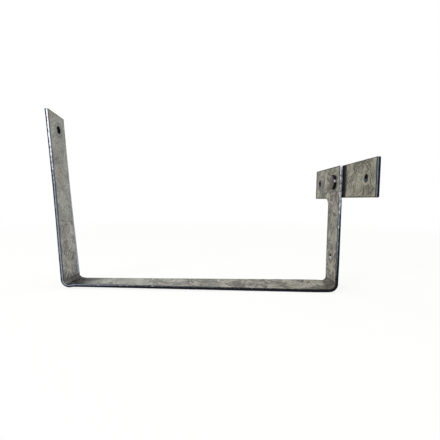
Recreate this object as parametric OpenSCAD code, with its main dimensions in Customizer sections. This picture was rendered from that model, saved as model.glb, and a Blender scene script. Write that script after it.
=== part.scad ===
// Box gutter bracket. A flat strap is folded into a trough, and its rear end is cut wide as a
// head. A plate lies flat behind the head, and one rivet holds the two together.
// Millimetres. +X points into the fascia board, +Z is up, +Y runs along the gutter.
// The origin lies on the back of the plate, halfway between the two fixing holes.

/* [Strap] */
// Width of the strap
strap_w = 30; // [20:1:50]
// Thickness of the strap
strap_t = 3; // [2:0.5:5]
// Rounding of every long edge, left by the zinc coat
edge_r = 0.8; // [0.3:0.1:0.9]
// Inside radius of both folds
fold_r = 4.5; // [1:0.5:8]

/* [Trough] */
// Width of the sole, outside, from the front corner to the rear upright
sole_l = 260; // [150:1:400]
// Length of the front upright along its outer face, from the corner to its near edge
front_l = 166; // [100:1:250]
// Outward lean of the front upright, in degrees
front_lean = 4.8; // [0:0.1:15]
// How much shorter the far edge of the front upright is than its near edge
front_slant = 3.2; // [0:0.1:12]
// Height of the rear upright, from the underside of the sole to the top of the head
rear_h = 118.5; // [90:0.5:250]

/* [Head] */
// Height of the plate, and of the head above the level of the plate's lower edge
head_h = 30; // [24:1:50]
// How far the head hangs below the plate
head_drop = 1.2; // [0:0.1:4]
// How far the head reaches past the far edge of the strap
head_reach = 42.5; // [30:0.5:80]
// Radius of the hollow corner where the head leaves the strap
throat_r = 7.5; // [2:0.5:15]
// Radius of the outer corners of the head
head_corner_r = 2.2; // [1:0.1:4]

/* [Plate] */
// Thickness of the plate
plate_t = 3; // [2:0.5:5]
// How far the plate reaches past the near edge of the strap
plate_reach = 63.5; // [40:0.5:120]
// Radius of the corners of the plate
plate_corner_r = 1; // [0.9:0.1:4]

/* [Holes] */
// Diameter of the two fixing holes
fixing_d = 6.5; // [4:0.5:9]
// Distance of the near fixing hole from the near end of the plate
near_hole_end = 16.5; // [8:0.5:25]
// Distance of the far fixing hole from the far end of the head
far_hole_end = 14; // [8:0.5:20]
// Diameter of the tie hole near the top of the front upright
front_hole_d = 7; // [4:0.5:10]
// Distance of the front tie hole from the near top corner, along the strap
front_hole_end = 16.5; // [12:0.5:30]
// How far the front tie hole lies past the middle of the strap, towards its far edge
front_hole_shift = 2; // [-4:0.5:4]
// Diameter of the tie hole low in the rear upright
rear_hole_d = 5.5; // [3:0.5:10]
// Height of the rear tie hole above the underside of the sole
rear_hole_h = 30.5; // [15:0.5:60]
// How far the rear tie hole lies past the middle of the strap, towards its far edge
rear_hole_shift = 2; // [-4:0.5:4]

/* [Rivet] */
// Diameter of the rivet's head
rivet_head_d = 14; // [11:0.5:18]
// Height of the rivet's head
rivet_head_h = 2.8; // [1.5:0.1:5]
// Rounding of the head's rim
rivet_rim_r = 0.9; // [0.3:0.1:1.4]
// Radius of the low dome on the head
rivet_dome_r = 40; // [15:1:70]
// Diameter of the rivet's shank
shank_d = 7; // [4:0.5:9]
// Gap around the shank in its hole
shank_gap = 0.05; // [0.02:0.01:0.2]
// Diameter of the countersunk tail, flush with the back of the plate
tail_d = 10.5; // [9.5:0.5:14]
// Depth of the countersunk tail
tail_h = 1.6; // [0.5:0.1:1.9]

/* [Hidden] */
$fn = 64;
edge_fn = 16; // segments of the small circles that round the edges

zinc = [0.55, 0.54, 0.51];
zinc_dull = [0.50, 0.48, 0.45];
rivet_zinc = [0.42, 0.39, 0.35];
eps = 1; // overrun of every cutter past the face that it cuts
lap = 0.01; // the leaning upright ends this deep in its fold, and is as much slimmer all round

// Faces of the strap and the plate along X
plate_front_x = -plate_t;
strap_front_x = plate_front_x - strap_t;

// Edges along Y
hole_span = plate_reach + strap_w + head_reach - near_hole_end - far_hole_end;
near_hole_y = -hole_span / 2;
far_hole_y = hole_span / 2;
plate_near_y = near_hole_y - near_hole_end;
strap_near_y = plate_near_y + plate_reach;
strap_far_y = strap_near_y + strap_w;
strap_mid_y = strap_near_y + strap_w / 2;
head_far_y = strap_far_y + head_reach;

// Levels along Z, with the fixing holes at 0
plate_bottom_z = -head_h / 2;
head_bottom_z = plate_bottom_z - head_drop;
head_top_z = head_h / 2;
sole_z = head_top_z - rear_h;
throat_z = head_bottom_z - throat_r;

// Folds
fold_outer_r = fold_r + strap_t;
fold_z = sole_z + fold_outer_r;
rear_fold_x = plate_front_x - fold_outer_r;
front_turn = 90 - front_lean;
front_corner_x = plate_front_x - sole_l;
front_set_back = fold_outer_r * tan(front_turn / 2);
front_fold_x = front_corner_x + front_set_back;
front_leg_l = front_l - front_set_back;

// Lays a flat blank that was drawn in XY, thickness along +Z, across the bracket:
// its x becomes Y, its y becomes Z and its thickness becomes X.
module stand_across(x) {
    translate([x, 0, 0]) rotate([90, 0, 90]) children();
}

// Stands a side view that was drawn in XY upright: its y becomes Z, and its z runs from the
// strap's far edge towards its near edge.
module stand_lengthwise() {
    translate([0, strap_far_y, 0]) rotate([90, 0, 0]) children();
}

// Section of flat stock with all four edges rounded, x = thickness, y = width
module stock_section(t, w, r) {
    translate([r, 0]) square([t - 2 * r, w]);
    translate([0, r]) square([t, w - 2 * r]);
    for (x = [r, t - r], y = [r, w - r]) translate([x, y]) circle(r, $fn = edge_fn);
}

// Section of a band along a blank's edge, from x = 0 inside the blank to its rounded edge at x = w
module band_section(w, t, r) {
    intersection() {
        union() {
            square([w - r, t]);
            translate([0, r]) square([w, t - 2 * r]);
            for (y = [r, t - r]) translate([w - r, y]) circle(r, $fn = edge_fn);
        }
        square([w, t]);
    }
}

// Band of length l along +Y, with its rounded edge towards +X
module edge_band(l, w, t, r) {
    translate([0, l, 0]) rotate([90, 0, 0]) linear_extrude(l) band_section(w, t, r);
}

// Quarter of a rounded edge round an outer corner, its centre at the origin, in the +X +Y quarter
module corner_band(w, t, r) {
    rotate_extrude(angle = 90) band_section(w, t, r);
}

// Quarter of a rounded edge round a hollow corner of radius throat, with the blank outside it
module throat_band(throat, w, t, r) {
    rotate_extrude(angle = 90) translate([throat + w, 0]) mirror([1, 0]) band_section(w, t, r);
}

// Straight run of strap along +X, thickness along +Y, width along +Z, slimmer by shy all round
module strap_run(l, shy = 0) {
    rotate([90, 0, 90]) linear_extrude(l) translate([shy, shy])
        stock_section(strap_t - 2 * shy, strap_w - 2 * shy, edge_r);
}

// Fold of the strap about Z, centre at the origin, through turn degrees from the direction from
module strap_fold(from, turn) {
    rotate_extrude(start = from, angle = turn)
        translate([fold_r, 0]) stock_section(strap_t, strap_w, edge_r);
}

// Frame of the front upright: the origin is the centre of the front fold, and +Y runs up the
// leaning strap, whose outer face is at x = -fold_outer_r
module front_frame() {
    translate([front_fold_x, fold_z]) rotate(front_lean) children();
}

// Sole, both folds and the two uprights, up to the level where the head begins
module strap_body() {
    stand_lengthwise() {
        front_frame() translate([-fold_r, -lap]) rotate(90) strap_run(front_leg_l + lap, lap);
        translate([front_fold_x, fold_z]) strap_fold(180 + front_lean, front_turn);
        translate([front_fold_x, sole_z]) strap_run(rear_fold_x - front_fold_x);
        translate([rear_fold_x, fold_z]) strap_fold(270, 90);
        translate([plate_front_x, fold_z]) rotate(90) strap_run(throat_z - fold_z);
    }
}

// Head, one flat blank with the rear upright: an L with a hollow throat and rounded outer corners
module head_blank() {
    c = head_corner_r;
    throat_x = strap_far_y + throat_r;
    linear_extrude(strap_t) difference() {
        union() {
            translate([strap_near_y + c, throat_z])
                square([strap_w - 2 * c, head_top_z - c - throat_z]);
            translate([strap_far_y - c, head_bottom_z + c])
                square([head_reach, head_top_z - head_bottom_z - 2 * c]);
            translate([strap_far_y - c, throat_z]) square([throat_r + c, throat_r + c]);
        }
        translate([throat_x, throat_z]) circle(throat_r + c);
    }
    translate([throat_x, throat_z]) rotate(90) throat_band(throat_r, c, strap_t, edge_r);
    // near edge, top edge, far end and bottom edge
    translate([strap_near_y + c, throat_z]) mirror([1, 0, 0])
        edge_band(head_top_z - c - throat_z, c, strap_t, edge_r);
    translate([head_far_y - c, head_top_z - c]) rotate(90)
        edge_band(head_far_y - strap_near_y - 2 * c, c, strap_t, edge_r);
    translate([head_far_y - c, head_bottom_z + c])
        edge_band(head_top_z - head_bottom_z - 2 * c, c, strap_t, edge_r);
    translate([throat_x, head_bottom_z + c]) rotate(-90)
        edge_band(head_far_y - c - throat_x, c, strap_t, edge_r);
    // outer corners
    translate([strap_near_y + c, head_top_z - c]) rotate(90) corner_band(c, strap_t, edge_r);
    translate([head_far_y - c, head_top_z - c]) corner_band(c, strap_t, edge_r);
    translate([head_far_y - c, head_bottom_z + c]) rotate(-90) corner_band(c, strap_t, edge_r);
}

// Through hole along X at (y, z), from the trough side out past the fascia side
module hole_across(d, y, z) {
    translate([strap_front_x - eps, y, z]) rotate([0, 90, 0])
        cylinder(d = d, h = strap_t + plate_t + 2 * eps);
}

// Holes that the strap's head and the plate share
module shared_holes() {
    hole_across(fixing_d, far_hole_y, 0);
    hole_across(shank_d + 2 * shank_gap, strap_mid_y, 0);
}

// Slanting cut across the free end of the front upright, and the tie hole below it
module front_cuts() {
    stand_lengthwise() front_frame() {
        translate([-fold_outer_r - eps, front_leg_l]) rotate([0, 90, 0])
            linear_extrude(strap_t + 2 * eps)
                polygon([[0, -front_slant], [-strap_w, 0], [-strap_w, eps], [0, eps]]);
        translate([-fold_outer_r - eps, front_leg_l - front_hole_end,
                strap_w / 2 - front_hole_shift])
            rotate([0, 90, 0]) cylinder(d = front_hole_d, h = strap_t + 2 * eps);
    }
}

module strap() {
    color(zinc) difference() {
        union() {
            strap_body();
            stand_across(strap_front_x) head_blank();
        }
        shared_holes();
        hole_across(rear_hole_d, strap_mid_y + rear_hole_shift, sole_z + rear_hole_h);
        front_cuts();
    }
}

// Plain flat blank with rounded corners and edges
module plate_blank(w, h, t, c, r) {
    translate([c, c]) cube([w - 2 * c, h - 2 * c, t]);
    translate([w - c, c]) edge_band(h - 2 * c, c, t, r);
    translate([c, h - c]) rotate(180) edge_band(h - 2 * c, c, t, r);
    translate([w - c, h - c]) rotate(90) edge_band(w - 2 * c, c, t, r);
    translate([c, c]) rotate(-90) edge_band(w - 2 * c, c, t, r);
    translate([w - c, h - c]) corner_band(c, t, r);
    translate([c, h - c]) rotate(90) corner_band(c, t, r);
    translate([c, c]) rotate(180) corner_band(c, t, r);
    translate([w - c, c]) rotate(-90) corner_band(c, t, r);
}

// Cone of the rivet's tail, wide end on the back of the plate, grown by a gap all round
module tail_cone(gap) {
    grow = 2 * gap;
    translate([-tail_h, strap_mid_y, 0]) rotate([0, 90, 0])
        cylinder(d1 = shank_d + grow, d2 = tail_d + grow, h = tail_h);
}

module back_plate() {
    color(zinc_dull) difference() {
        stand_across(plate_front_x) translate([plate_near_y, plate_bottom_z])
            plate_blank(head_far_y - plate_near_y, head_h, plate_t, plate_corner_r, edge_r);
        hole_across(fixing_d, near_hole_y, 0);
        shared_holes();
        tail_cone(shank_gap);
    }
}

// Half section of the head: a flat button with a rounded rim and a low dome, x = radius
module rivet_head_section() {
    r = rivet_head_d / 2;
    intersection() {
        union() {
            square([r, rivet_head_h - rivet_rim_r]);
            square([r - rivet_rim_r, rivet_head_h]);
            translate([r - rivet_rim_r, rivet_head_h - rivet_rim_r]) circle(rivet_rim_r);
        }
        translate([0, rivet_head_h - rivet_dome_r]) circle(rivet_dome_r);
        square([r, rivet_head_h]);
    }
}

module rivet() {
    color(rivet_zinc) {
        translate([strap_front_x, strap_mid_y, 0]) rotate([0, -90, 0])
            rotate_extrude() rivet_head_section();
        translate([strap_front_x, strap_mid_y, 0]) rotate([0, 90, 0])
            cylinder(d = shank_d, h = strap_t + plate_t);
        tail_cone(0);
    }
}

strap();
back_plate();
rivet();
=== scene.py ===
"""Gutter bracket of hot-dip galvanised flat steel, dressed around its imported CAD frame.

A punched strap is folded into a trough, and a back plate is riveted behind its head. Each piece
is made here as it is in the shop: a flat blank with rounded edges, folded where it has folds, and
coated with zinc that lies a little thick and uneven along its edges.
"""

import logging
import math
from collections import Counter
from collections.abc import Callable
from dataclasses import dataclass, field
from enum import Enum
from functools import partial

import bpy
import numpy as np
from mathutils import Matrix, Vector
from mathutils.geometry import delaunay_2d_cdt


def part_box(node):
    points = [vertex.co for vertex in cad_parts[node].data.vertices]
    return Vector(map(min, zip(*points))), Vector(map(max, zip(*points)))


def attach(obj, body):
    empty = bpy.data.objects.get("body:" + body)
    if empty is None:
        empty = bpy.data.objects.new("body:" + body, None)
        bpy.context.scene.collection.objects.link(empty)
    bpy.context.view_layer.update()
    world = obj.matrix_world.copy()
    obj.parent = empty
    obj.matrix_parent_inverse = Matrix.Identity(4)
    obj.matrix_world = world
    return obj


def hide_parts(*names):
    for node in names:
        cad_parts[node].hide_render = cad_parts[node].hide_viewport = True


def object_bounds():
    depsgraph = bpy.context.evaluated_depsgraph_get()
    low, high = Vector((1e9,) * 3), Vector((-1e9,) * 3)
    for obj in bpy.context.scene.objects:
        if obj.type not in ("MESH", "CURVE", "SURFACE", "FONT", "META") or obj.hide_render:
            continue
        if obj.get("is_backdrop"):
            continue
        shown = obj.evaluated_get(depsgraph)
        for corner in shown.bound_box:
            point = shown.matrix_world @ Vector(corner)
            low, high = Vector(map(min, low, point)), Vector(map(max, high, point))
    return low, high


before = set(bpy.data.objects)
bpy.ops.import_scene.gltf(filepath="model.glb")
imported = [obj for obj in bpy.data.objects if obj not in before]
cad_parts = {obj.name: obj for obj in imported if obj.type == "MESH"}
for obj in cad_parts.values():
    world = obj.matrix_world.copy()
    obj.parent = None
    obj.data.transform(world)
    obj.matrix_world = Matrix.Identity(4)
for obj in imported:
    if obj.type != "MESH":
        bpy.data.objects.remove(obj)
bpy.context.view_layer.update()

LOG = logging.getLogger("gutter_bracket")
MM = 0.001  # metres in a millimetre
Adder = Callable[..., bpy.types.Node]  # adds a node to one tree


# ---------------------------------------------------------------- small helpers


def linear(code: str) -> tuple[float, float, float, float]:
    """Turns an sRGB colour to the linear one that shaders take.

    Args:
        code: The colour as "#rrggbb".

    Returns:
        Linear red, green, blue and an alpha of 1.
    """
    parts = [int(code[i : i + 2], 16) / 255 for i in (1, 3, 5)]
    toned = [c / 12.92 if c <= 0.04045 else ((c + 0.055) / 1.055) ** 2.4 for c in parts]
    return (*toned, 1.0)


def add_node(
    tree: bpy.types.NodeTree,
    kind: str,
    inputs: dict[str | int, object] | tuple | None = None,
    **settings: object,
) -> bpy.types.Node:
    """Adds a node with its settings, values and links.

    Args:
        tree: The node tree that it goes in.
        kind: The node's type name.
        inputs: For each input, by name or number or in order, its value, or the socket or the
            node that is linked to it. A node gives its first output.
        **settings: The node's own properties.

    Returns:
        The new node.
    """
    node = tree.nodes.new(kind)
    for name, value in settings.items():
        setattr(node, name, value)
    if isinstance(inputs, tuple):
        inputs = dict(enumerate(inputs))
    for key, value in (inputs or {}).items():
        if isinstance(value, bpy.types.Node):
            value = next(socket for socket in value.outputs if socket.enabled)
        if isinstance(value, bpy.types.NodeSocket):
            tree.links.new(value, node.inputs[key])
        else:
            node.inputs[key].default_value = value
    return node


def nodes_of(owner: bpy.types.Material | bpy.types.World) -> Adder:
    """Starts a material's or a world's nodes afresh, and gives what adds nodes to them."""
    owner.use_nodes = True
    owner.node_tree.nodes.clear()
    return partial(add_node, owner.node_tree)


def ramp_of(node: bpy.types.Node, stops: list[tuple[float, str]]) -> None:
    """Gives a colour ramp its stops.

    Args:
        node: The colour ramp node.
        stops: Each stop's place from 0 to 1 and its sRGB colour.
    """
    elements = node.color_ramp.elements
    while len(elements) > len(stops):
        elements.remove(elements[-1])
    while len(elements) < len(stops):
        elements.new(1.0)
    for element, (place, code) in zip(elements, stops):
        element.position = place
        element.color = linear(code)


def store(mesh: bpy.types.Mesh, values: dict[str, np.ndarray]) -> None:
    """Stores numbers on a mesh's points, one attribute for each name."""
    for name, numbers in values.items():
        stored = mesh.attributes.new(name, "FLOAT", "POINT")
        stored.data.foreach_set("value", numbers.astype(np.float32))


def corner_points(mesh: bpy.types.Mesh) -> np.ndarray:
    """Gives the index of the point at each corner of each face."""
    found = np.zeros(len(mesh.loops), np.int32)
    mesh.loops.foreach_get("vertex_index", found)
    return found


def unroll(mesh: bpy.types.Mesh, places: np.ndarray) -> None:
    """Stores each face corner's unrolled place in metres, and shades the mesh smooth."""
    layer = mesh.uv_layers.new(name=Blank.UV_NAME)
    layer.data.foreach_set("uv", places.astype(np.float32).ravel())
    mesh.polygons.foreach_set("use_smooth", np.ones(len(mesh.polygons), bool))
    mesh.update()


def object_from(mesh: bpy.types.Mesh, name: str) -> bpy.types.Object:
    """Links a mesh to the scene as an object at the origin.

    Args:
        mesh: The mesh.
        name: The object's name.

    Returns:
        The new object.
    """
    made = bpy.data.objects.new(name, mesh)
    bpy.context.scene.collection.objects.link(made)
    return made


# ---------------------------------------------------------------- finishes


@dataclass(frozen=True)
class GalvanisedZinc:
    """Hot-dip galvanised mild steel, weathered indoors.

    The molten zinc freezes in crystals, the spangle, each with feathered branches that lie its
    own way and catch the light apart from its neighbours. Flat faces dull to a grey that leans
    to mauve in some crystals and to green in others, and browns a little towards the fascia.
    Along the rounded edges the zinc runs thicker and smoother and glossier, its colour cool as a
    painted reflection, with painted highlights on its beads and a painted shade line at its foot.
    Where the shear tore the steel it stays dark, and that dark wall is spread into painted shade
    where the edges face from the light. Dust sits round the washer marks, and the folds, the bores
    and the plate beside the strap are darkened as painted shade.
    """

    name: str
    dark: str = "#63625f"
    middle: str = "#8e8d89"
    light: str = "#b4b3b0"
    aged: str = "#e3ddd1"
    mauve: str = "#fcf8f5"
    green: str = "#f4f8f0"
    # near-black: dust in the washer marks, and painted shade in folds, bores and along edges
    grime_and_shade: str = "#151312"
    # the edges' zinc runs, coloured cool as a painted reflection
    run_and_reflection: str = "#8890a0"
    # a painted highlight: the near-white that the edges' beads and one bore are lit to
    painted_highlight: str = "#f5f9ff"
    # dark wall: the sheared steel's fracture, and painted shade on edges, bores and the rivet
    torn_and_shaded: str = "#14171e"
    spangle_mm: float = 10.0
    branch_mm: float = 14.0
    branch_width_mm: float = 2.0
    metallic: float = 0.72
    roughness: float = 0.47
    seed: float = 0.0

    TONE_SHIFT = -1.1
    CONTRAST_SHIFT = -0.15
    CRYSTAL_WEIGHT = 0.55
    BRANCH_WEIGHT = 1.65
    GRAIN_WEIGHT = 0.8
    PATCH_WEIGHT = 0.5

    def material(self) -> bpy.types.Material:
        """Builds the finish.

        Returns:
            A material that reads the piece's unrolled UV map and its edge attributes.
        """
        made = bpy.data.materials.new(self.name)
        add = nodes_of(made)
        tone, branches = self._spangle(add)
        colour, dullness = self._edges(add, tone, branches)
        looks = {
            "Base Color": colour,
            "Metallic": self.metallic,
            "Roughness": self._gloss(add, branches, dullness),
            "Normal": self._relief(add, branches),
        }
        shader = add("ShaderNodeBsdfPrincipled", looks)
        add("ShaderNodeOutputMaterial", {"Surface": shader})
        return made

    def _spangle(self, add: Adder) -> tuple[bpy.types.Node, bpy.types.Node]:
        """Draws the crystals and the branches inside them.

        Args:
            add: What adds nodes to the material's tree.

        Returns:
            The nodes of the zinc's colour and of the branches' height.
        """
        unrolled = add("ShaderNodeUVMap", uv_map=Blank.UV_NAME)
        place = add("ShaderNodeVectorMath", {0: unrolled, "Scale": 1 / MM}, operation="SCALE")
        shifted = add(
            "ShaderNodeVectorMath", (place, (self.seed, 0.7 * self.seed, 0.0)), operation="ADD"
        )
        wander, patches, grain = (
            add(
                "ShaderNodeTexNoise",
                {"Vector": shifted, "Scale": 1 / size, "Detail": detail},
                noise_dimensions="2D",
            )
            for size, detail in ((4.0, 2.0), (24.0, 3.0), (1.6, 2.0))
        )
        swing = add(
            "ShaderNodeVectorMath", (wander.outputs["Color"], (0.5, 0.5, 0.5)), operation="SUBTRACT"
        )
        swung = add("ShaderNodeVectorMath", (swing, (4.0, 4.0, 0.0), shifted), operation="MULTIPLY_ADD")
        crystals = add(
            "ShaderNodeTexVoronoi",
            {"Vector": swung, "Scale": 1 / self.spangle_mm},
            voronoi_dimensions="2D",
        )
        chance = add("ShaderNodeSeparateColor", {"Color": crystals.outputs["Color"]})
        lie = add("ShaderNodeMath", (chance.outputs["Red"], math.tau), operation="MULTIPLY")
        turned = add(
            "ShaderNodeVectorRotate", {"Vector": shifted, "Angle": lie}, rotation_type="Z_AXIS"
        )
        stretched = add(
            "ShaderNodeVectorMath",
            (turned, (1 / self.branch_mm, 1 / self.branch_width_mm, 0.0)),
            operation="MULTIPLY",
        )
        branches = add(
            "ShaderNodeTexNoise",
            {"Vector": stretched, "Scale": 1.0, "Detail": 3.0, "Roughness": 0.6},
            noise_dimensions="2D",
        )
        shade = self.TONE_SHIFT
        heights = chance.outputs["Green"], branches
        for part, weight in zip(heights, (self.CRYSTAL_WEIGHT, self.BRANCH_WEIGHT)):
            shade = add("ShaderNodeMath", (part, weight, shade), operation="MULTIPLY_ADD")
        contrast = add("ShaderNodeAttribute", attribute_name=Blank.CONTRAST).outputs["Fac"]
        shade = add("ShaderNodeMath", (shade, contrast, self.CONTRAST_SHIFT), operation="MULTIPLY_ADD")
        for part, weight in ((grain, self.GRAIN_WEIGHT), (patches, self.PATCH_WEIGHT)):
            shade = add("ShaderNodeMath", (part, weight, shade), operation="MULTIPLY_ADD")
        shades = add("ShaderNodeValToRGB", {"Fac": shade})
        ramp_of(shades, [(0.15, self.dark), (0.5, self.middle), (0.85, self.light)])
        leaning = add(
            "ShaderNodeMath", (chance.outputs["Blue"], 0.5, patches), operation="MULTIPLY_ADD"
        )
        tint = add("ShaderNodeMapRange", {"Value": leaning, "From Min": 0.4})
        lean = add(
            "ShaderNodeMix",
            {"Factor": tint, "A": linear(self.mauve), "B": linear(self.green)},
            data_type="RGBA",
        )
        tinted = add(
            "ShaderNodeMix",
            {"Factor": 1.0, "A": shades, "B": lean},
            data_type="RGBA",
            blend_type="MULTIPLY",
        )
        standing = add("ShaderNodeTexCoord")
        along = add("ShaderNodeSeparateXYZ", {"Vector": standing.outputs["Object"]})
        age = add(
            "ShaderNodeMapRange", {"Value": along.outputs["X"], "From Min": -0.25, "From Max": -0.02}
        )
        aged = add(
            "ShaderNodeMix",
            {"Factor": age, "A": tinted, "B": linear(self.aged)},
            data_type="RGBA",
            blend_type="MULTIPLY",
        )
        return aged, branches

    def _edges(
        self, add: Adder, tone: bpy.types.Node, branches: bpy.types.Node
    ) -> tuple[bpy.types.Node, bpy.types.Node]:
        """Lays the zinc runs with their painted reflection and highlights, their painted shade line,
        the dark walls of fracture and painted shade, and the dust and painted shade over the faces.

        Args:
            add: What adds nodes to the material's tree.
            tone: The faces' colour.
            branches: The branches' height.

        Returns:
            The nodes of the finished colour and of how much the dark walls, dust and painted shade
            dull it.
        """
        rim, depth, torn_and_shaded_share, grime_and_shade, painted_highlight, foot_shade_share = (
            add("ShaderNodeAttribute", attribute_name=key).outputs["Fac"]
            for key in (Blank.RIM, Blank.DEPTH, Blank.TORN_AND_SHADED, Blank.GRIME_AND_SHADE, Blank.PAINTED_HIGHLIGHT, Blank.FOOT_SHADE)
        )
        edge = add(
            "ShaderNodeMapRange",
            {"Value": rim, "From Min": 0.25, "From Max": 0.8},
            interpolation_type="SMOOTHSTEP",
        )
        # painted shade: a dark line partway round each edge's rounding
        foot = add("ShaderNodeValToRGB", {"Fac": rim})
        ramp_of(foot, [(0.05, "#000000"), (0.35, "#ffffff"), (0.65, "#ffffff"), (0.9, "#000000")])
        unrolled = add("ShaderNodeUVMap", uv_map=Blank.UV_NAME)
        beads = add(
            "ShaderNodeTexNoise",
            {"Vector": unrolled, "Scale": 1 / (3.4 * MM), "Detail": 2.0},
            noise_dimensions="2D",
        )
        # painted highlight: the beads turn towards the highlight colour where their share is high
        lit = add("ShaderNodeMath", (beads, painted_highlight), operation="ADD")
        bright = add(
            "ShaderNodeMapRange",
            {"Value": lit, "From Min": 0.8, "From Max": 1.25},
            interpolation_type="SMOOTHSTEP",
        )
        beaded_highlight = add(
            "ShaderNodeMix",
            {"Factor": bright, "A": linear(self.run_and_reflection), "B": linear(self.painted_highlight)},
            data_type="RGBA",
        )
        # the edges take that cool colour: zinc runs, painted as a reflection
        zinc_run_and_reflection = add("ShaderNodeMix", {"Factor": edge, "A": tone, "B": beaded_highlight}, data_type="RGBA")
        # the sheared steel's dark fracture, spread by its share into painted shade where edges face
        # from the light
        ragged = add(
            "ShaderNodeTexNoise",
            {"Vector": unrolled, "Scale": 1 / (3 * MM), "Detail": 3.0},
            noise_dimensions="2D",
        )
        tear_line = add("ShaderNodeMath", (ragged, 0.8, depth), operation="MULTIPLY_ADD")
        spared = add("ShaderNodeMath", (torn_and_shaded_share, -2.0, tear_line), operation="MULTIPLY_ADD")
        tear = add(
            "ShaderNodeMapRange",
            {"Value": spared, "From Min": -0.35, "From Max": -0.85},
            interpolation_type="SMOOTHSTEP",
        )
        torn_and_shaded = add("ShaderNodeMath", (tear, edge), operation="MULTIPLY")
        sheared = add(
            "ShaderNodeMix", {"Factor": torn_and_shaded, "A": zinc_run_and_reflection, "B": linear(self.torn_and_shaded)}, data_type="RGBA"
        )
        # the painted shade line, the dust and the painted shade darken the colour to near-black
        foot_shade_line = add("ShaderNodeMath", (foot, foot_shade_share), operation="MULTIPLY")
        settled_and_shaded = add("ShaderNodeMath", (grime_and_shade, foot_shade_line), operation="ADD")
        dark_mix = add("ShaderNodeMath", (settled_and_shaded, branches), operation="MULTIPLY")
        dark_mixed = add(
            "ShaderNodeMix", {"Factor": dark_mix, "A": sheared, "B": linear(self.grime_and_shade)}, data_type="RGBA"
        )
        dull = add("ShaderNodeMath", (dark_mix, torn_and_shaded), operation="MAXIMUM")
        return dark_mixed, dull

    def _gloss(self, add: Adder, branches: bpy.types.Node, dullness: bpy.types.Node) -> bpy.types.Node:
        """Makes branches that stand up glossier, edges smoother and dulled zinc rougher.

        Args:
            add: What adds nodes to the material's tree.
            branches: The branches' height.
            dullness: How much the dark walls, dust and painted shade dull the zinc.

        Returns:
            The node of the roughness.
        """
        rim = add("ShaderNodeAttribute", attribute_name=Blank.RIM).outputs["Fac"]
        face = add(
            "ShaderNodeMapRange",
            {
                "Value": branches,
                "From Min": 0.3,
                "From Max": 0.7,
                "To Min": self.roughness + 0.08,
                "To Max": self.roughness - 0.08,
            },
        )
        smooth = add("ShaderNodeMix", {"Factor": rim, "A": face, "B": 0.3}, data_type="FLOAT")
        return add("ShaderNodeMix", {"Factor": dullness, "A": smooth, "B": 0.75}, data_type="FLOAT")

    def _relief(self, add: Adder, branches: bpy.types.Node) -> bpy.types.Node:
        """Raises the branches by a few hundredths of a millimetre, and gives the bumped normal."""
        return add("ShaderNodeBump", {"Height": branches, "Strength": 0.5, "Distance": 0.08 * MM})


# ---------------------------------------------------------------- sheet metal


class HoleForm(Enum):
    """How a hole goes through a blank."""

    PUNCHED = "straight, with its rims softened by the zinc"
    COUNTERSUNK = "straight from the top, then flared to a cone at the bottom"


@dataclass(frozen=True)
class Hole:
    """A round hole, in the flat blank's own millimetres.

    A washer mark is the radius of the dark ring that a washer left. The side of the bore that
    lies the shaded way is painted dark as shade, and the whole bore where there is no such way. A
    painted highlight lights a bore's wall in place of the painted shade that other bores get. A
    taper is how much narrower the bore is on the side that doesn't show, where the punch went in.
    """

    x: float
    y: float
    radius: float
    form: HoleForm = HoleForm.PUNCHED
    flare_radius: float = 0.0
    flare_depth: float = 0.0
    washer_mark: float = 0.0
    shaded: tuple[float, float] = (0.0, 0.0)
    painted_highlight: float = 0.0
    taper: float = 0.0

    @property
    def centre(self) -> np.ndarray:
        """Gives the place of the hole's axis."""
        return np.array([self.x, self.y])

    @property
    def widest(self) -> float:
        """Gives the hole's radius where it is widest."""
        return max(self.radius, self.flare_radius)

    def distances(self, points: np.ndarray) -> np.ndarray:
        """Gives each point's distance from the hole's axis."""
        return np.hypot(points[:, 0] - self.x, points[:, 1] - self.y)


@dataclass(frozen=True)
class Corner:
    """A corner of a blank's outline, with the radius that rounds it and its edge's rounding."""

    x: float
    y: float
    radius: float
    edge: float


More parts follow.
